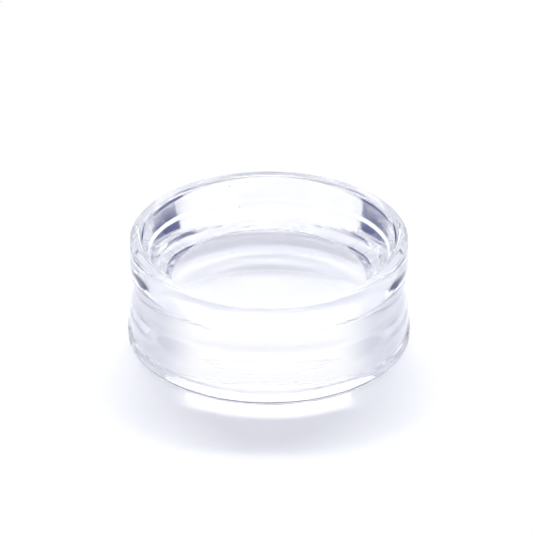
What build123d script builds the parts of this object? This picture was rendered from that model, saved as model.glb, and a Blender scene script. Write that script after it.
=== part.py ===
from build123d import *
import os

# A round pressed-glass dappen dish: one solid turned about the Z axis.
# It stands on Z = 0, its origin is the centre of the underside, and +Z is up.
# All sizes are in millimetres.

# Overall sizes
dish_height = 15.5
rim_radius = 19.6

# The band round the rim, which stands out from the wall below it
band_height = 4.6
band_projection = 0.4
band_underside_rise = 0.25

# The wall below the band: a straight waist, an outward flare, and a straight stretch above the bead
waist_length = 2.25
flare_projection = 0.52
foot_wall_length = 2.15

# The rounded bead that the dish stands on
bead_height = 1.85
bead_projection = 0.28
bead_shoulder_drop = 0.2

# The well: a flat floor on a thick base, and a straight side that leans out towards the rim
base_thickness = 9.05
rim_wall = 1.65
well_side_lean = 4.15

# Rounded edges left by pressing and fire-polishing
rim_outer_round = 0.3
rim_inner_round = 1.2
band_edge_round = 0.2
band_root_round = 0.2
floor_corner_round = 0.35
bead_shoulder_round = 0.15
bead_root_round = 0.1
foot_round = 0.55

# Radii that follow from the sizes above
waist_radius = rim_radius - band_projection
foot_wall_radius = waist_radius + flare_projection
foot_radius = foot_wall_radius + bead_projection
mouth_radius = rim_radius - rim_wall
floor_radius = mouth_radius - well_side_lean

# Heights that follow from the sizes above
band_level = dish_height - band_height
waist_top_level = band_level - band_underside_rise
waist_level = waist_top_level - waist_length
bead_root_level = bead_height + bead_shoulder_drop
foot_wall_level = bead_root_level + foot_wall_length


def corner(section, point):
    """Return the corner of the section that lies at a (radius, height) pair."""
    return section.vertices().sort_by_distance(point)[0]


def half_section():
    """Draw the closed half-section of the dish, with every edge rounded."""
    axis_floor = (0, base_thickness)
    floor_corner = (floor_radius, base_thickness)
    mouth_edge = (mouth_radius, dish_height)
    rim_edge = (rim_radius, dish_height)
    band_edge = (rim_radius, band_level)
    band_root = (waist_radius, waist_top_level)
    waist = (waist_radius, waist_level)
    foot_wall = (foot_wall_radius, foot_wall_level)
    bead_root = (foot_wall_radius, bead_root_level)
    bead_shoulder = (foot_radius, bead_height)
    foot_edge = (foot_radius, 0)
    axis_base = (0, 0)

    above_flare = [axis_floor, floor_corner, mouth_edge, rim_edge, band_edge, band_root, waist]
    below_flare = [foot_wall, bead_root, bead_shoulder, foot_edge, axis_base]
    flare_middle = ((waist_radius + foot_wall_radius) / 2, (waist_level + foot_wall_level) / 2)

    with BuildSketch(Plane.XZ) as sketch:
        with BuildLine():
            Polyline(*above_flare)
            # The flare is an ogee: two arcs that meet half way, upright at both ends.
            TangentArc(waist, flare_middle, tangent=(0, -1))
            TangentArc(foot_wall, flare_middle, tangent=(0, 1))
            Polyline(*below_flare)
            Line(axis_base, axis_floor)
        make_face()
        rounds = [
            (floor_corner, floor_corner_round),
            (mouth_edge, rim_inner_round),
            (rim_edge, rim_outer_round),
            (band_edge, band_edge_round),
            (band_root, band_root_round),
            (bead_root, bead_root_round),
            (bead_shoulder, bead_shoulder_round),
            (foot_edge, foot_round),
        ]
        for point, radius in rounds:
            fillet(corner(sketch, point), radius=radius)
    return sketch.sketch


def glass_dish():
    """Turn the half-section into the dish."""
    return revolve(half_section(), axis=Axis.Z)


os.makedirs("parts", exist_ok=True)
dish = glass_dish()
dish.label = "glass_dish"
export_step(dish, "parts/glass_dish.step")
print(f"glass_dish: volume {dish.volume:.1f} mm3, size {dish.bounding_box().size}")
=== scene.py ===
"""A round pressed-glass dappen dish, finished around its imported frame.

The dish is one piece of clear glass: a banded rim, a shallow flat-floored well, a thick solid base
and a beaded foot. Lengths are in metres, with +Z up and the dish standing on Z = 0.
"""

from __future__ import annotations

import logging
import math
from dataclasses import dataclass, field
from enum import Enum
from typing import Any, Mapping, Sequence, Union

import bpy
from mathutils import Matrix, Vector

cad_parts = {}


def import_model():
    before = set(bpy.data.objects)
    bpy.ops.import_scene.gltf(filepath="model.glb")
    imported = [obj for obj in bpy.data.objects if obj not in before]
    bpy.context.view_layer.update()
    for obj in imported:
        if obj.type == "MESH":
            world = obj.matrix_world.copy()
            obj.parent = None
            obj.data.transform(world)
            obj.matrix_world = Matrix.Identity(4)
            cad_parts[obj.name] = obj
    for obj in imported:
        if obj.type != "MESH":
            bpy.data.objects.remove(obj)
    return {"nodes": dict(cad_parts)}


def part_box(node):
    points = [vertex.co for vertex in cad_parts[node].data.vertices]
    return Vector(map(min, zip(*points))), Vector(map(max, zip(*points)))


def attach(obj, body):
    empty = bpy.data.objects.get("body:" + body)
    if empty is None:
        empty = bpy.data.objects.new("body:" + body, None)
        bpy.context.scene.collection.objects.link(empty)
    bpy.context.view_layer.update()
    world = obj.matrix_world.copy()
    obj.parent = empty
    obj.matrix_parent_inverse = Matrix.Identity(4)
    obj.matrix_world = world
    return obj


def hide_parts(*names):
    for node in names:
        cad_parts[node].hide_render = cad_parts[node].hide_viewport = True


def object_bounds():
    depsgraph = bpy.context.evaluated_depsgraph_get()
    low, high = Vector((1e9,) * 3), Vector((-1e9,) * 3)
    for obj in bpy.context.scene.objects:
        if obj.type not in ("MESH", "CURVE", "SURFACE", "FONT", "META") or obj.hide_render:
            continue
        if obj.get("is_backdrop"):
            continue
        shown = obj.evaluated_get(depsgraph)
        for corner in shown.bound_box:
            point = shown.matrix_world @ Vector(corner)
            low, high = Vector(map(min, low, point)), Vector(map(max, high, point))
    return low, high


LOG = logging.getLogger("dappen_dish")
MM = 0.001
HALF_TURN = 180.0
FULL_TURN = 360.0
# Wider than a full turn, so that a panel of this half width goes all the way round.
ALL_ROUND = 400.0
# Bounces and indices are whole numbers, and half a step keeps a test between two of them.
HALF_STEP = 0.5
# A Mix node's colour sockets, by number, because its other kinds of socket share their names.
MIX_FIRST, MIX_SECOND, MIX_RESULT = 6, 7, 2

Colour = tuple[float, float, float]
Number = Union[float, int, "Value"]
Socket = bpy.types.NodeSocket


class Side(Enum):
    """The sides that a panel hangs on, as bearings in degrees from the front towards the right."""

    FRONT = 0.0
    BACK = 180.0


def opaque(colour: Colour) -> tuple[float, float, float, float]:
    """Return a colour with nothing showing through it."""
    return (*colour, 1.0)


# ---------------------------------------------------------------------------
# Node trees
# ---------------------------------------------------------------------------


class Value:
    """A number socket that joins Python arithmetic by adding Math nodes to its tree."""

    def __init__(self, graph: "Graph", socket: Socket) -> None:
        """Wrap an output socket, and keep the tree that new Math nodes are added to."""
        self.graph = graph
        self.socket = socket

    def _math(self, operation: str, *operands: Number) -> "Value":
        """Add one Math node, with its inputs in order, and return its result."""
        node = self.graph.add("ShaderNodeMath", {"operation": operation}, dict(enumerate(operands)))
        return Value(self.graph, node.outputs[0])

    def __add__(self, other: Number) -> "Value":
        """Return self + other."""
        return self._math("ADD", self, other)

    def __radd__(self, other: Number) -> "Value":
        """Return other + self."""
        return self._math("ADD", other, self)

    def __sub__(self, other: Number) -> "Value":
        """Return self - other."""
        return self._math("SUBTRACT", self, other)

    def __rsub__(self, other: Number) -> "Value":
        """Return other - self."""
        return self._math("SUBTRACT", other, self)

    def __mul__(self, other: Number) -> "Value":
        """Return self * other."""
        return self._math("MULTIPLY", self, other)

    def __rmul__(self, other: Number) -> "Value":
        """Return other * self."""
        return self._math("MULTIPLY", other, self)

    def __truediv__(self, other: Number) -> "Value":
        """Return self / other."""
        return self._math("DIVIDE", self, other)

    def __rtruediv__(self, other: Number) -> "Value":
        """Return other / self."""
        return self._math("DIVIDE", other, self)

    def __abs__(self) -> "Value":
        """Return the value without its sign."""
        return self._math("ABSOLUTE", self)

    def __gt__(self, other: Number) -> "Value":
        """Return 1 where this is more than another number, and 0 elsewhere."""
        return self._math("GREATER_THAN", self, other)

    def least(self, other: Number) -> "Value":
        """Return the smaller of this and another number."""
        return self._math("MINIMUM", self, other)

    def modulo(self, other: Number) -> "Value":
        """Return the remainder of a division by another number."""
        return self._math("FLOORED_MODULO", self, other)

    def floor(self) -> "Value":
        """Return the whole number below this one."""
        return self._math("FLOOR", self)

    def sine(self) -> "Value":
        """Return the sine of an angle in radians."""
        return self._math("SINE", self)

    def cosine(self) -> "Value":
        """Return the cosine of an angle in radians."""
        return self._math("COSINE", self)

    def arcsine(self) -> "Value":
        """Return the angle in degrees whose sine this is."""
        return self._math("ARCSINE", self) * math.degrees(1.0)

    def angle_to(self, other: Number) -> "Value":
        """Return the angle in degrees of this over another number."""
        return self._math("ARCTAN2", self, other) * math.degrees(1.0)

    def step_between(self, low: float, high: float) -> "Value":
        """Return a smooth step.

        Args:
            low: Where the result is 0.
            high: Where the result is 1.

        Returns:
            A value from 0 to 1.
        """
        node = self.graph.add(
            "ShaderNodeMapRange",
            {"interpolation_type": "SMOOTHSTEP"},
            {"Value": self, "From Min": low, "From Max": high, "To Min": 0.0, "To Max": 1.0},
        )
        return Value(self.graph, node.outputs["Result"])


class Graph:
    """A node tree that is filled through one method."""

    def __init__(self, tree: bpy.types.NodeTree) -> None:
        """Wrap a node tree and empty it."""
        self.tree = tree
        tree.nodes.clear()

    def add(
        self,
        kind: str,
        settings: Mapping[str, Any] | None = None,
        inputs: Mapping[str | int, Any] | None = None,
    ) -> bpy.types.Node:
        """Add one node.

        Args:
            kind: The node's type.
            settings: Its properties, which are set first.
            inputs: Its sockets by name or number, each a plain value, a Value or a socket.

        Returns:
            The new node.
        """
        node = self.tree.nodes.new(kind)
        for name, setting in (settings or {}).items():
            setattr(node, name, setting)
        for key, item in (inputs or {}).items():
            self._feed(node.inputs[key], item)
        return node

    def value(
        self,
        kind: str,
        output: str | int,
        settings: Mapping[str, Any] | None = None,
        inputs: Mapping[str | int, Any] | None = None,
    ) -> Value:
        """Add one node, as add does, and return one of its outputs as a number."""
        return Value(self, self.add(kind, settings, inputs).outputs[output])

    def mix(self, factor: Number, first: Any, second: Any) -> Socket:
        """Mix two colours.

        Args:
            factor: How much of the second there is.
            first: A colour or a socket.
            second: A colour or a socket.

        Returns:
            The mixed colour.
        """
        node = self.add(
            "ShaderNodeMix",
            {"data_type": "RGBA"},
            {"Factor": factor, MIX_FIRST: first, MIX_SECOND: second},
        )
        return node.outputs[MIX_RESULT]

    def _feed(self, socket: Socket, item: Any) -> None:
        """Link or set one input socket.

        Args:
            socket: The input.
            item: A Value or a socket to link, or a plain value to set.
        """
        if isinstance(item, Value):
            self.tree.links.new(item.socket, socket)
        elif isinstance(item, Socket):
            self.tree.links.new(item, socket)
        else:
            socket.default_value = item


# ---------------------------------------------------------------------------
# Finishes
# ---------------------------------------------------------------------------


@dataclass(frozen=True)
class Grain:
    """An uneven noise that is fixed to the glass.

    Attributes:
        scale: How many of its patches cross a metre.
        detail: How many finer layers it has.
        start: The level at which a patch begins.
        full: The level at which a patch is at its strongest.
    """

    scale: float
    detail: float
    start: float = 0.0
    full: float = 1.0

    def level(self, graph: Graph, place: Socket) -> Value:
        """Return the noise at a place on the glass, from 0 to 1."""
        sizes = {"Vector": place, "Scale": self.scale, "Detail": self.detail}
        return graph.value("ShaderNodeTexNoise", "Fac", inputs=sizes)

    def patches(self, graph: Graph, place: Socket) -> Value:
        """Return 1 within a patch and 0 between patches, with soft edges."""
        return self.level(graph, place).step_between(self.start, self.full)


@dataclass(frozen=True)
class Speck:
    """One speck of dust on the glass.

    Attributes:
        place: Where it lies, in metres.
        radius: Its radius.
        core: How much of the radius is fully dusty.
        edge: How many radii out the dust ends.
    """

    place: tuple[float, float, float]
    radius: float = 0.09 * MM
    core: float = 0.6
    edge: float = 1.3

    def clear(self, graph: Graph, place: Socket) -> Value:
        """Return 0 on the speck and 1 away from it.

        Args:
            graph: The tree.
            place: The place on the glass.

        Returns:
            How clear the place is of this speck.
        """
        ends = {0: place, 1: self.place}
        away = graph.value("ShaderNodeVectorMath", "Value", {"operation": "DISTANCE"}, ends)
        return (away / self.radius).step_between(self.core, self.edge)


@dataclass(frozen=True)
class PressedGlass:
    """Clear pressed glass with a fire-polished skin.

    Attributes:
        tint: What the glass lets through.
        thin_tint: What it lets through where the batch was a little bluer.
        batch: Where the batch was bluer.
        index: Its refractive index.
        haze: How rough it gets where it was handled.
        handling: Where it was handled.
        wave_depth: How deep the fine waves of its skin are, in metres.
        waves: The fine waves.
        dust: The colour of a speck of dust.
        specks: The dust on it.
    """

    tint: Colour = (0.992, 0.994, 1.0)
    thin_tint: Colour = (0.972, 0.978, 1.0)
    batch: Grain = Grain(scale=60.0, detail=1.0, start=0.35, full=0.7)
    index: float = 1.5
    haze: float = 0.03
    handling: Grain = Grain(scale=170.0, detail=3.0, start=0.55, full=0.9)
    wave_depth: float = 0.0025 * MM
    waves: Grain = Grain(scale=420.0, detail=2.0)
    dust: Colour = (0.05, 0.05, 0.08)
    specks: Sequence[Speck] = (
        Speck((-0.00565, 0.01645, 0.01463)),
        Speck((-0.00424, 0.01514, 0.01204)),
        Speck((0.00085, 0.01377, 0.00905)),
        Speck((0.00268, 0.01354, 0.00905)),
        Speck((0.00975, 0.00455, 0.00905)),
        Speck((0.00148, 0.01892, 0.01550)),
        Speck((-0.00989, -0.01706, 0.00502)),
    )

    def material(self) -> bpy.types.Material:
        """Build the finish.

        Returns:
            The material.
        """
        material = bpy.data.materials.new("clear_pressed_glass")
        material.use_nodes = True
        graph = Graph(material.node_tree)
        place = graph.add("ShaderNodeTexCoord").outputs["Object"]
        glass = graph.mix(
            self.batch.patches(graph, place), opaque(self.tint), opaque(self.thin_tint)
        )
        bump = graph.add(
            "ShaderNodeBump",
            inputs={
                "Height": self.waves.level(graph, place),
                "Distance": self.wave_depth,
                "Strength": 1.0,
            },
        )
        shader = graph.add(
            "ShaderNodeBsdfPrincipled",
            inputs={
                "Base Color": graph.mix(self._dusted(graph, place), glass, opaque(self.dust)),
                "Transmission Weight": 1.0,
                "IOR": self.index,
                "Roughness": self.handling.patches(graph, place) * self.haze,
                "Normal": bump.outputs["Normal"],
            },
        )
        graph.add("ShaderNodeOutputMaterial", inputs={"Surface": shader.outputs["BSDF"]})
        return material

    def _dusted(self, graph: Graph, place: Socket) -> Number:
        """Return 1 on a speck of dust and 0 elsewhere.

        Args:
            graph: The tree.
            place: The place on the glass.

        Returns:
            How dusty the place is.
        """
        clear: Number = 1.0
        for speck in self.specks:
            clear = speck.clear(graph, place) * clear
        return 1.0 - clear


@dataclass(frozen=True)
class SweepPaper:
    """Matt white paper for the studio floor.

    Attributes:
        shade: Its colour.
        roughness: How matt it is.
        gloss: How strongly its skin reflects.
    """

    shade: Colour = (0.93, 0.93, 0.935)
    roughness: float = 0.9
    gloss: float = 0.2

    def material(self) -> bpy.types.Material:
        """Build the finish.

        Returns:
            The material.
        """
        material = bpy.data.materials.new("sweep_paper")
        material.use_nodes = True
        graph = Graph(material.node_tree)
        shader = graph.add(
            "ShaderNodeBsdfPrincipled",
            inputs={
                "Base Color": opaque(self.shade),
                "Roughness": self.roughness,
                "Specular IOR Level": self.gloss,
            },
        )
        graph.add("ShaderNodeOutputMaterial", inputs={"Surface": shader.outputs["BSDF"]})
        return material


# ---------------------------------------------------------------------------
# The dish
# ---------------------------------------------------------------------------


@dataclass(frozen=True)
class Corner:
    """One corner of a turned outline.

    Attributes:
        radius: Distance from the axis.
        height: Height above the floor.
        rounding: Radius of the round that replaces the corner, or 0.
    """

    radius: float
    height: float
    rounding: float = 0.0

    @property
    def place(self) -> Vector:
        """The corner as a point in the half-section."""
        return Vector((self.radius, self.height))


@dataclass(frozen=True)
class Outline:
    """The half-section of a turned solid, from the axis at the top round to the axis below.

    Attributes:
        corners: The outline's corners in order.
        round_step: The most that a round turns between two points, in degrees.
        fewest_steps: The fewest steps that a round takes.
        shoulder: How far from a round the point stands that keeps the flat beside it flat.
        shortest: The shortest flat that gets points of its own.
        longest: The longest stretch between two points.
    """

    corners: Sequence[Corner]
    round_step: float = 6.0
    fewest_steps: int = 3
    shoulder: float = 0.04 * MM
    shortest: float = 0.16 * MM
    longest: float = 0.6 * MM

    def points(self) -> list[Vector]:
        """Follow the outline, with every round as an arc.

        Returns:
            The outline's points, each a radius and a height.
        """
        path: list[Vector] = [self.corners[0].place]
        last = len(self.corners) - 1
        for number, corner in enumerate(self.corners[1:], start=1):
            if number == last or corner.rounding <= 0:
                arc = [corner.place]
            else:
                before, after = self.corners[number - 1], self.corners[number + 1]
                arc = self._arc(before.place, corner, after.place)
            path += self._flat(path[-1], arc[0])
            path += arc
        return path

    def _flat(self, start: Vector, end: Vector) -> list[Vector]:
        """Return the points between the ends of a straight stretch.

        Args:
            start: Its first end.
            end: Its last end.

        Returns:
            The points between them, with one shoulder point near each end.
        """
        run = end - start
        if run.length < self.shortest:
            return []
        along = run.normalized()
        first, last = start + along * self.shoulder, end - along * self.shoulder
        count = max(1, math.ceil((last - first).length / self.longest))
        return [first.lerp(last, step / count) for step in range(count + 1)]

    def _arc(self, before: Vector, corner: Corner, after: Vector) -> list[Vector]:
        """Return the arc that rounds a corner.

        Args:
            before: The corner before it.
            corner: The corner.
            after: The corner after it.

        Returns:
            The arc's points.
        """
        towards = (before - corner.place).normalized()
        away = (after - corner.place).normalized()
        half = towards.angle(away) / 2
        reach = corner.rounding / math.tan(half)
        centre = corner.place + (towards + away).normalized() * (corner.rounding / math.sin(half))
        start = corner.place + towards * reach - centre
        end = corner.place + away * reach - centre
        turn = start.angle_signed(end)
        count = max(self.fewest_steps, math.ceil(abs(math.degrees(turn)) / self.round_step))
        first = math.atan2(start.y, start.x)
        arc = []
        for step in range(count + 1):
            angle = first - turn * step / count
            arc.append(centre + Vector((math.cos(angle), math.sin(angle))) * corner.rounding)
        return arc


@dataclass
class TurnedSolid:
    """A Geometry Nodes tree that turns an outline about the Z axis and ripples its skin.

    Attributes:
        segments: How many steps a full turn takes.
        ripple: How far the glass draws in at its deepest, in metres.
        ripple_scale: How many ripples cross a metre.
        ripple_detail: How many finer layers the ripples have.
        calm: The noise level at which the skin starts to draw in.
        deepest: The noise level at which it is drawn in the most.
        seed: Which ripples.
        still_height: Height at which the ripples reach their full depth, from none at the table.
        weld: The distance within which points are joined.
        tree: The node tree, once it is built.
    """

    segments: int = 240
    ripple: float = 0.02 * MM
    ripple_scale: float = 110.0
    ripple_detail: float = 1.0
    calm: float = 0.15
    deepest: float = 0.85
    seed: float = 3.0
    still_height: float = 0.6 * MM
    weld: float = 0.001 * MM
    tree: bpy.types.NodeTree | None = field(default=None, init=False)

    def build(self) -> bpy.types.NodeTree:
        """Build the tree.

        Returns:
            The node tree.
        """
        tree = bpy.data.node_groups.new("turned_glass", "GeometryNodeTree")
        graph = Graph(tree)
        face = tree.interface
        face.new_socket("Geometry", in_out="INPUT", socket_type="NodeSocketGeometry")
        for name, kind in (
            ("Segments", "NodeSocketInt"),
            ("Ripple Depth", "NodeSocketFloat"),
            ("Ripple Scale", "NodeSocketFloat"),
            ("Seed", "NodeSocketFloat"),
            ("Still Height", "NodeSocketFloat"),
            ("Weld", "NodeSocketFloat"),
            ("Glass", "NodeSocketMaterial"),
        ):
            face.new_socket(name, in_out="INPUT", socket_type=kind)
        face.new_socket("Geometry", in_out="OUTPUT", socket_type="NodeSocketGeometry")
        sizes = graph.add("NodeGroupInput").outputs
        turned = self._turn(graph, sizes)
        rippled = self._ripple(graph, sizes, turned)
        smooth = graph.add("GeometryNodeSetShadeSmooth", inputs={"Geometry": rippled})
        real = graph.add("GeometryNodeRealizeInstances", inputs={"Geometry": smooth.outputs[0]})
        dressed = graph.add(
            "GeometryNodeSetMaterial",
            inputs={"Geometry": real.outputs[0], "Material": sizes["Glass"]},
        )
        graph.add("NodeGroupOutput", inputs={"Geometry": dressed.outputs[0]})
        self.tree = tree
        return tree

    @staticmethod
    def _turn(graph: Graph, sizes: Mapping[str, Socket]) -> Socket:
        """Lay a grid over the outline and the turn, and roll it up.

        Args:
            graph: The tree.
            sizes: The tree's named inputs.

        Returns:
            The closed solid.
        """
        segments = Value(graph, sizes["Segments"])
        count = graph.value(
            "GeometryNodeAttributeDomainSize",
            "Point Count",
            {"component": "MESH"},
            {"Geometry": sizes["Geometry"]},
        )
        columns = segments + 1
        grid = graph.add(
            "GeometryNodeMeshGrid", inputs={"Vertices X": count, "Vertices Y": columns}
        ).outputs["Mesh"]
        index = graph.value("GeometryNodeInputIndex", 0)
        outline_index = ((index + HALF_STEP) / columns).floor()
        step = index - outline_index * columns
        angle = step * math.tau / segments
        outline_place = graph.add(
            "GeometryNodeSampleIndex",
            {"data_type": "FLOAT_VECTOR", "domain": "POINT"},
            {
                "Geometry": sizes["Geometry"],
                "Value": graph.add("GeometryNodeInputPosition").outputs[0],
                "Index": outline_index,
            },
        ).outputs["Value"]
        section = graph.add("ShaderNodeSeparateXYZ", inputs={0: outline_place}).outputs
        radius = Value(graph, section["X"])
        place = graph.add(
            "ShaderNodeCombineXYZ",
            inputs={"X": radius * angle.cosine(), "Y": radius * angle.sine(), "Z": section["Z"]},
        ).outputs[0]
        rolled = graph.add(
            "GeometryNodeSetPosition", inputs={"Geometry": grid, "Position": place}
        ).outputs[0]
        return graph.add(
            "GeometryNodeMergeByDistance", inputs={"Geometry": rolled, "Distance": sizes["Weld"]}
        ).outputs[0]

    def _ripple(self, graph: Graph, sizes: Mapping[str, Socket], solid: Socket) -> Socket:
        """Draw the skin in by a gentle, uneven amount.

        Args:
            graph: The tree.
            sizes: The tree's named inputs.
            solid: The closed solid.

        Returns:
            The rippled solid.
        """
        place = graph.add("GeometryNodeInputPosition").outputs[0]
        noise = graph.value(
            "ShaderNodeTexNoise",
            "Fac",
            {"noise_dimensions": "4D"},
            {
                "Vector": place,
                "W": sizes["Seed"],
                "Scale": sizes["Ripple Scale"],
                "Detail": self.ripple_detail,
            },
        )
        height = graph.value("ShaderNodeSeparateXYZ", "Z", inputs={0: place})
        free = (height / Value(graph, sizes["Still Height"])).least(1.0)
        drawn = noise.step_between(self.calm, self.deepest)
        depth = drawn * free * Value(graph, sizes["Ripple Depth"])
        normal = graph.add("GeometryNodeInputNormal").outputs[0]
        inwards = graph.add(
            "ShaderNodeVectorMath", {"operation": "SCALE"}, {0: normal, "Scale": depth * -1.0}
        ).outputs[0]
        return graph.add(
            "GeometryNodeSetPosition", inputs={"Geometry": solid, "Offset": inwards}
        ).outputs[0]

    def solid(
        self, name: str, outline: Sequence[Vector], glass: bpy.types.Material
    ) -> bpy.types.Object:
        """Turn an outline into a plain mesh object.

        Args:
            name: The object's name.
            outline: The half-section's points, each a radius and a height.
            glass: The finish.

        Returns:
            The object, at the origin, with no modifiers.
        """
        section = bpy.data.meshes.new(name + "_outline")
        edges = [(number, number + 1) for number in range(len(outline) - 1)]
        section.from_pydata([(point.x, 0.0, point.y) for point in outline], edges, [])
        holder = bpy.data.objects.new(name + "_outline", section)
        bpy.context.scene.collection.objects.link(holder)
        modifier = holder.modifiers.new("turn", "NODES")
        modifier.node_group = self.tree or self.build()
        settings = {
            "Segments": self.segments,
            "Ripple Depth": self.ripple,
            "Ripple Scale": self.ripple_scale,
            "Seed": self.seed,
            "Still Height": self.still_height,
            "Weld": self.weld,
            "Glass": glass,
        }
        for item in modifier.node_group.interface.items_tree:
            if item.item_type == "SOCKET" and item.in_out == "INPUT" and item.name in settings:
                modifier[item.identifier] = settings[item.name]
        depsgraph = bpy.context.evaluated_depsgraph_get()
        turned = holder.evaluated_get(depsgraph)
        mesh = bpy.data.meshes.new_from_object(turned, depsgraph=depsgraph)
        mesh.name = name
        mesh.materials.clear()
        mesh.materials.append(glass)
        bpy.data.objects.remove(holder)
        piece = bpy.data.objects.new(name, mesh)
        bpy.context.scene.collection.objects.link(piece)
        return piece


@dataclass
class GlassDish:
    """The dish itself, one piece of pressed glass.

    Attributes:
        foot_radius: Outer radius of the bead that it stands on.
        dish_height: Overall height.
        band_height: Height of the band round the rim.
        band_projection: How far the band stands out from the waist.
        band_underside_rise: How far the band's underside slopes.
        waist_length: Height of the straight waist.
        flare_projection: How far the flare below the waist stands out.
        foot_wall_length: Height of the straight wall above the bead.
        bead_height: Height of the bead.
        bead_projection: How far the bead stands out from the wall above it.
        bead_shoulder_drop: How far the bead's shoulder slopes.
        base_thickness: Thickness of the glass below the well.
        rim_wall: Width of the rim.
        well_side_lean: How far the well's side leans out.
        rim_outer_round: Round on the rim's outer edge.
        rim_inner_round: Round on the rim's inner edge.
        edge_round: Round on the band's lower edge and at its root.
        floor_corner_round: Round between the well's floor and side.
        shoulder_round: Round on the bead's shoulder.
        root_round: Round at the bead's root.
        foot_round: Round on the foot.
        flare_steps: How many straight steps the flare takes.
        finish: Its glass.
        turning: How it is turned.
    """

    foot_radius: float
    dish_height: float
    band_height: float = 4.6 * MM
    band_projection: float = 0.4 * MM
    band_underside_rise: float = 0.25 * MM
    waist_length: float = 2.25 * MM
    flare_projection: float = 0.52 * MM
    foot_wall_length: float = 2.15 * MM
    bead_height: float = 1.85 * MM
    bead_projection: float = 0.28 * MM
    bead_shoulder_drop: float = 0.2 * MM
    base_thickness: float = 9.05 * MM
    rim_wall: float = 1.65 * MM
    well_side_lean: float = 4.15 * MM
    rim_outer_round: float = 0.3 * MM
    rim_inner_round: float = 1.2 * MM
    edge_round: float = 0.2 * MM
    floor_corner_round: float = 0.35 * MM
    shoulder_round: float = 0.15 * MM
    root_round: float = 0.1 * MM
    foot_round: float = 0.55 * MM
    flare_steps: int = 12
    finish: PressedGlass = field(default_factory=PressedGlass)
    turning: TurnedSolid = field(default_factory=TurnedSolid)

    @classmethod
    def from_frame(cls, node: str) -> "GlassDish":
        """Return a dish that is as wide and as high as a frame node."""
        low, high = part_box(node)
        return cls(foot_radius=(high.x - low.x) / 2, dish_height=high.z)

    def _flare(self, waist: Corner, foot_wall: Corner) -> list[Corner]:
        """Follow the ogee from the waist down to the wall above the bead.

        Args:
            waist: Its upper end.
            foot_wall: Its lower end.

        Returns:
            Its points, as corners without rounds.
        """
        corners = []
        for step in range(self.flare_steps + 1):
            share = step / self.flare_steps
            eased = (1 - math.cos(math.pi * share)) / 2
            corners.append(
                Corner(
                    waist.radius + (foot_wall.radius - waist.radius) * eased,
                    waist.height + (foot_wall.height - waist.height) * share,
                )
            )
        return corners

    def outline(self) -> Outline:
        """Work out the half-section from the sizes.

        Returns:
            The outline, from the centre of the well round to the centre of the base.
        """
        foot_wall = self.foot_radius - self.bead_projection
        waist = foot_wall - self.flare_projection
        rim = waist + self.band_projection
        mouth = rim - self.rim_wall
        band_level = self.dish_height - self.band_height
        waist_top = band_level - self.band_underside_rise
        bead_root = self.bead_height + self.bead_shoulder_drop
        flare_top = Corner(waist, waist_top - self.waist_length)
        flare_end = Corner(foot_wall, bead_root + self.foot_wall_length)
        return Outline(
            [
                Corner(0.0, self.base_thickness),
                Corner(mouth - self.well_side_lean, self.base_thickness, self.floor_corner_round),
                Corner(mouth, self.dish_height, self.rim_inner_round),
                Corner(rim, self.dish_height, self.rim_outer_round),
                Corner(rim, band_level, self.edge_round),
                Corner(waist, waist_top, self.edge_round),
                *self._flare(flare_top, flare_end),
                Corner(foot_wall, bead_root, self.root_round),
                Corner(self.foot_radius, self.bead_height, self.shoulder_round),
                Corner(self.foot_radius, 0.0, self.foot_round),
                Corner(0.0, 0.0),
            ]
        )

    def build(self) -> bpy.types.Object:
        """Build and dress the dish.

        Returns:
            The finished piece.
        """
        points = self.outline().points()
        piece = self.turning.solid("pressed_glass_dish", points, self.finish.material())
        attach(piece, "root")
        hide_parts("glass_dish")
        return piece


# ---------------------------------------------------------------------------
# The studio
# ---------------------------------------------------------------------------


@dataclass(frozen=True)
class TentPanel:
    """One panel of the light tent, as the dish sees it.

    Attributes:
        side: The side it hangs on.
        elevation: Its middle, in degrees above the horizon.
        half_width: Half its width, in degrees.
        half_height: Half its height, in degrees.
        softness: Width of its blurred edge, in degrees.
        glow: How bright it is.
        turn: How far it hangs round from that side, in degrees.
    """

    side: Side
    elevation: float
    half_width: float
    half_height: float
    softness: float
    glow: Colour
    turn: float = 0.0

    def covers(self, heading: Value, rise: Value) -> Value:
        """Return how far the panel covers a direction.

        Args:
            heading: The direction's bearing, in degrees.
            rise: Its height above the horizon, in degrees.

        Returns:
            1 on the panel and 0 off it.
        """
        middle = self.side.value + self.turn
        round_from = (heading - middle + HALF_TURN).modulo(FULL_TURN) - HALF_TURN
        across = self._within(abs(round_from), self.half_width)
        return across * self._within(abs(rise - self.elevation), self.half_height)

    def _within(self, distance: Value, half: float) -> Value:
        """Return 1 within half a size and 0 beyond it."""
        return distance.step_between(half + self.softness / 2, half - self.softness / 2)


@dataclass(frozen=True)
class Glow:
    """An even surround with brighter and darker panels on it.

    Attributes:
        surround: How bright the surround is.
        panels: The panels, each laid over those before it.
    """

    surround: Colour
    panels: Sequence[TentPanel]

    def colour(self, graph: Graph, heading: Value, rise: Value) -> Any:
        """Return the light from a direction.

        Args:
            graph: The tree.
            heading: The direction's bearing, in degrees.
            rise: Its height above the horizon, in degrees.

        Returns:
            The colour, as a socket, or as a plain value where there is no panel.
        """
        colour: Any = opaque(self.surround)
        for panel in self.panels:
            colour = graph.mix(panel.covers(heading, rise), colour, opaque(panel.glow))
        return colour


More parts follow.
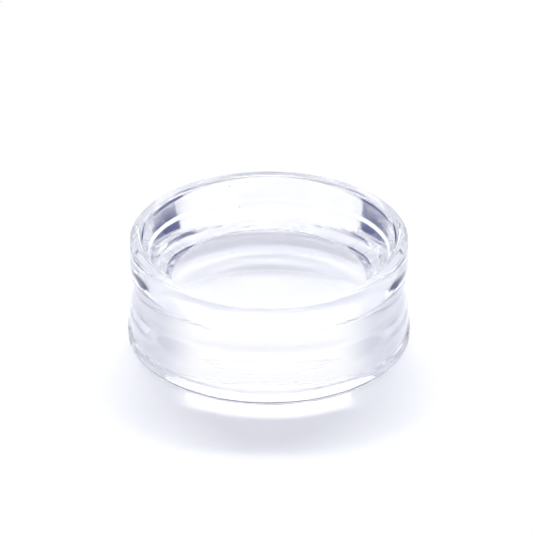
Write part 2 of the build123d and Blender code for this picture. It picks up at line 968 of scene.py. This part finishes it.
@dataclass
class LightTent:
    """The light tent: what the glass shows of it, and what it throws on the paper.

    Attributes:
        cloth: The tent's cloth, where none of the next four covers it.
        roof: The brighter cloth overhead.
        back_cloth: The brighter cloth behind the dish.
        low_gap: The dark gap all round, low down.
        front_opening: The dark opening in front.
        fill: The even light on the paper.
        lamp: The soft lamp behind and above that lights the paper.
    """

    cloth: Colour = (0.70, 0.715, 0.80)
    roof: TentPanel = TentPanel(
        Side.FRONT,
        elevation=90.0,
        half_width=ALL_ROUND,
        half_height=38.0,
        softness=14.0,
        glow=(1.06, 1.06, 1.07),
    )
    back_cloth: TentPanel = TentPanel(
        Side.BACK,
        elevation=40.0,
        half_width=35.0,
        half_height=18.0,
        softness=22.0,
        glow=(1.05, 1.05, 1.06),
    )
    low_gap: TentPanel = TentPanel(
        Side.FRONT,
        elevation=2.0,
        half_width=ALL_ROUND,
        half_height=12.0,
        softness=10.0,
        glow=(0.02, 0.03, 0.11),
    )
    front_opening: TentPanel = TentPanel(
        Side.FRONT,
        elevation=39.0,
        half_width=36.0,
        half_height=12.5,
        softness=10.0,
        glow=(0.09, 0.10, 0.25),
        turn=-6.0,
    )
    fill: Colour = (0.72, 0.73, 0.80)
    lamp: TentPanel = TentPanel(
        Side.BACK,
        elevation=45.5,
        half_width=32.0,
        half_height=3.5,
        softness=3.0,
        glow=(19.5, 19.5, 19.3),
    )

    def build(self) -> bpy.types.World:
        """Build the surround.

        Returns:
            The world.
        """
        world = bpy.data.worlds.new("light_tent")
        bpy.context.scene.world = world
        world.use_nodes = True
        # The surround isn't sampled as a lamp, because such samples come before the bounce off the
        # paper is counted, and would take the wrong one of the two glows.
        world.cycles.sampling_method = "NONE"
        graph = Graph(world.node_tree)
        way = graph.add("ShaderNodeTexCoord").outputs["Generated"]
        axes = graph.add("ShaderNodeSeparateXYZ", inputs={0: way}).outputs
        rise = Value(graph, axes["Z"]).arcsine()
        heading = Value(graph, axes["X"]).angle_to(Value(graph, axes["Y"]) * -1.0)
        shown = Glow(self.cloth, (self.roof, self.back_cloth, self.low_gap, self.front_opening))
        thrown = Glow(self.fill, (self.lamp,))
        on_paper = graph.value("ShaderNodeLightPath", "Diffuse Depth") > HALF_STEP
        colour = graph.mix(
            on_paper, shown.colour(graph, heading, rise), thrown.colour(graph, heading, rise)
        )
        background = graph.add("ShaderNodeBackground", inputs={"Color": colour, "Strength": 1.0})
        graph.add("ShaderNodeOutputWorld", inputs={"Surface": background.outputs[0]})
        return world


@dataclass
class StudioFloor:
    """The paper floor.

    Attributes:
        reach: Half its width.
        gap: The air left between the paper and the glass.
        finish: Its paper.
    """

    reach: float = 1.4
    gap: float = 0.04 * MM
    finish: SweepPaper = field(default_factory=SweepPaper)

    def build(self) -> bpy.types.Object:
        """Lay the floor.

        Returns:
            The floor.
        """
        mesh = bpy.data.meshes.new("studio_floor")
        corners = ((-1, -1), (1, -1), (1, 1), (-1, 1))
        places = [(x * self.reach, y * self.reach, -self.gap) for x, y in corners]
        mesh.from_pydata(places, [], [(0, 1, 2, 3)])
        mesh.materials.append(self.finish.material())
        floor = bpy.data.objects.new("studio_floor", mesh)
        bpy.context.scene.collection.objects.link(floor)
        floor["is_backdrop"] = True
        return floor


@dataclass
class ProductCamera:
    """The camera, which looks down at the middle of the dish.

    Attributes:
        azimuth: Its bearing, in degrees.
        elevation: Its height above the horizon, in degrees.
        distance: How far it stands from the dish.
        field_width: What it takes in across the dish.
        shift: How far the view is slid sideways and up, as shares of its width.
        clip: The nearest and the farthest that it sees.
    """

    azimuth: float = 0.0
    elevation: float = 29.7
    distance: float = 0.75
    field_width: float = 75.3 * MM
    shift: tuple[float, float] = (-0.0047, 0.0347)
    clip: tuple[float, float] = (0.01, 10.0)

    def build(self, low: Vector, high: Vector) -> bpy.types.Object:
        """Set up the camera.

        Args:
            low: The dish's lowest corner.
            high: Its highest corner.

        Returns:
            The camera.
        """
        data = bpy.data.cameras.new("product_camera")
        camera = bpy.data.objects.new("product_camera", data)
        bpy.context.scene.collection.objects.link(camera)
        bpy.context.scene.camera = camera
        back = bearing(self.azimuth, self.elevation)
        camera.location = (low + high) / 2 + back * self.distance
        camera.rotation_mode = "QUATERNION"
        camera.rotation_quaternion = (-back).to_track_quat("-Z", "Y")
        data.lens = data.sensor_width * self.distance / self.field_width
        data.shift_x, data.shift_y = self.shift
        data.clip_start, data.clip_end = self.clip
        return camera


def bearing(azimuth: float, elevation: float) -> Vector:
    """Return the unit vector towards a bearing.

    Args:
        azimuth: Degrees from the front, -Y, towards the right, +X.
        elevation: Degrees above the horizon.

    Returns:
        The direction.
    """
    turn, rise = math.radians(azimuth), math.radians(elevation)
    return Vector(
        (math.sin(turn) * math.cos(rise), -math.cos(turn) * math.cos(rise), math.sin(rise))
    )


@dataclass(frozen=True)
class Look:
    """How tones are shown, and how far light is followed through many walls of glass.

    Attributes:
        tones: The view transform, one that leaves the tones alone.
        bounces: The most bounces of any kind.
        through_glass: The most through glass.
        off_gloss: The most off gloss.
        off_paper: The most off paper.
        blur: How much glossy light is blurred. None, so that what the glass bends stays crisp.
        clamp: The brightest that bounced light gets, or 0 for no limit.
    """

    tones: str = "Standard"
    bounces: int = 24
    through_glass: int = 24
    off_gloss: int = 12
    off_paper: int = 8
    blur: float = 0.0
    clamp: float = 0.0

    def set(self) -> None:
        """Give the scene this look."""
        scene = bpy.context.scene
        scene.view_settings.view_transform = self.tones
        scene.cycles.max_bounces = self.bounces
        scene.cycles.transmission_bounces = self.through_glass
        scene.cycles.glossy_bounces = self.off_gloss
        scene.cycles.diffuse_bounces = self.off_paper
        scene.cycles.blur_glossy = self.blur
        scene.cycles.sample_clamp_indirect = self.clamp


def main() -> None:
    """Build the dish and the studio round it."""
    logging.basicConfig(level=logging.INFO, format="%(name)s: %(message)s")
    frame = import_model()
    frame_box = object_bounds()
    LOG.info("frame: %d nodes", len(frame["nodes"]))
    dish = GlassDish.from_frame("glass_dish").build()
    LOG.info("%s: %d faces", dish.name, len(dish.data.polygons))
    tent = LightTent().build()
    LOG.info("%s", tent.name)
    floor = StudioFloor().build()
    LOG.info("%s", floor.name)
    camera = ProductCamera().build(*frame_box)
    LOG.info("%s", camera.name)
    Look().set()


if __name__ == "__main__":
    main()
